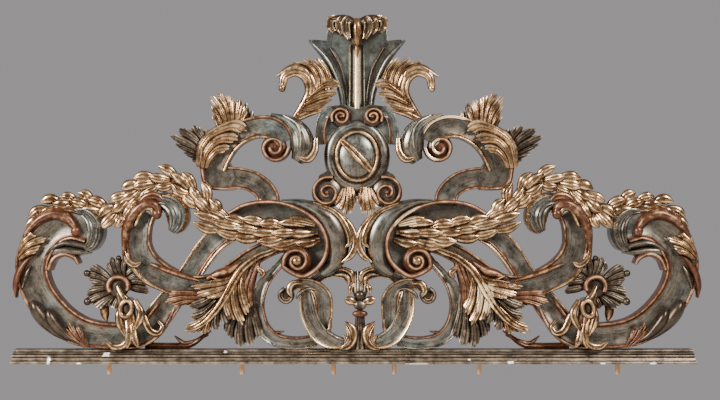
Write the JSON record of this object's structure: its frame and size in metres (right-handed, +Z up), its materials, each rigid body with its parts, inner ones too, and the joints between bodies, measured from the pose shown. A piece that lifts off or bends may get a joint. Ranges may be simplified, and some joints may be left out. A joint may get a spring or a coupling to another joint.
{
  "type": "carved overdoor",
  "caption": "Openwork carved and gilded overdoor: scrolls, acanthus and laurel round an oval cartouche, on a moulded rail with dowels.",
  "frame": {"origin": "on the flat back of the rail, halfway along the cresting and halfway up the rail, where the piece lies against the wall", "axes": "+Z up, +X to the right as seen from the front, -Y towards the viewer, the wall in the plane y = 0"},
  "size_m": [1.8365, 0.104, 0.9686],
  "materials": {
    "carving": "carved wood with tarnished silver leaf, gold leaf and red bole showing at the edges",
    "rail": "moulded wood with tarnished silver leaf, worn to gesso in places",
    "dowels": "bare wood"
  },
  "bodies": {
    "root": {"carved_cresting": "carving", "base_rail": "rail", "dowel_1": "dowels", "dowel_2": "dowels", "dowel_3": "dowels", "dowel_4": "dowels", "dowel_5": "dowels", "dowel_6": "dowels"}
  },
  "joints": []
}
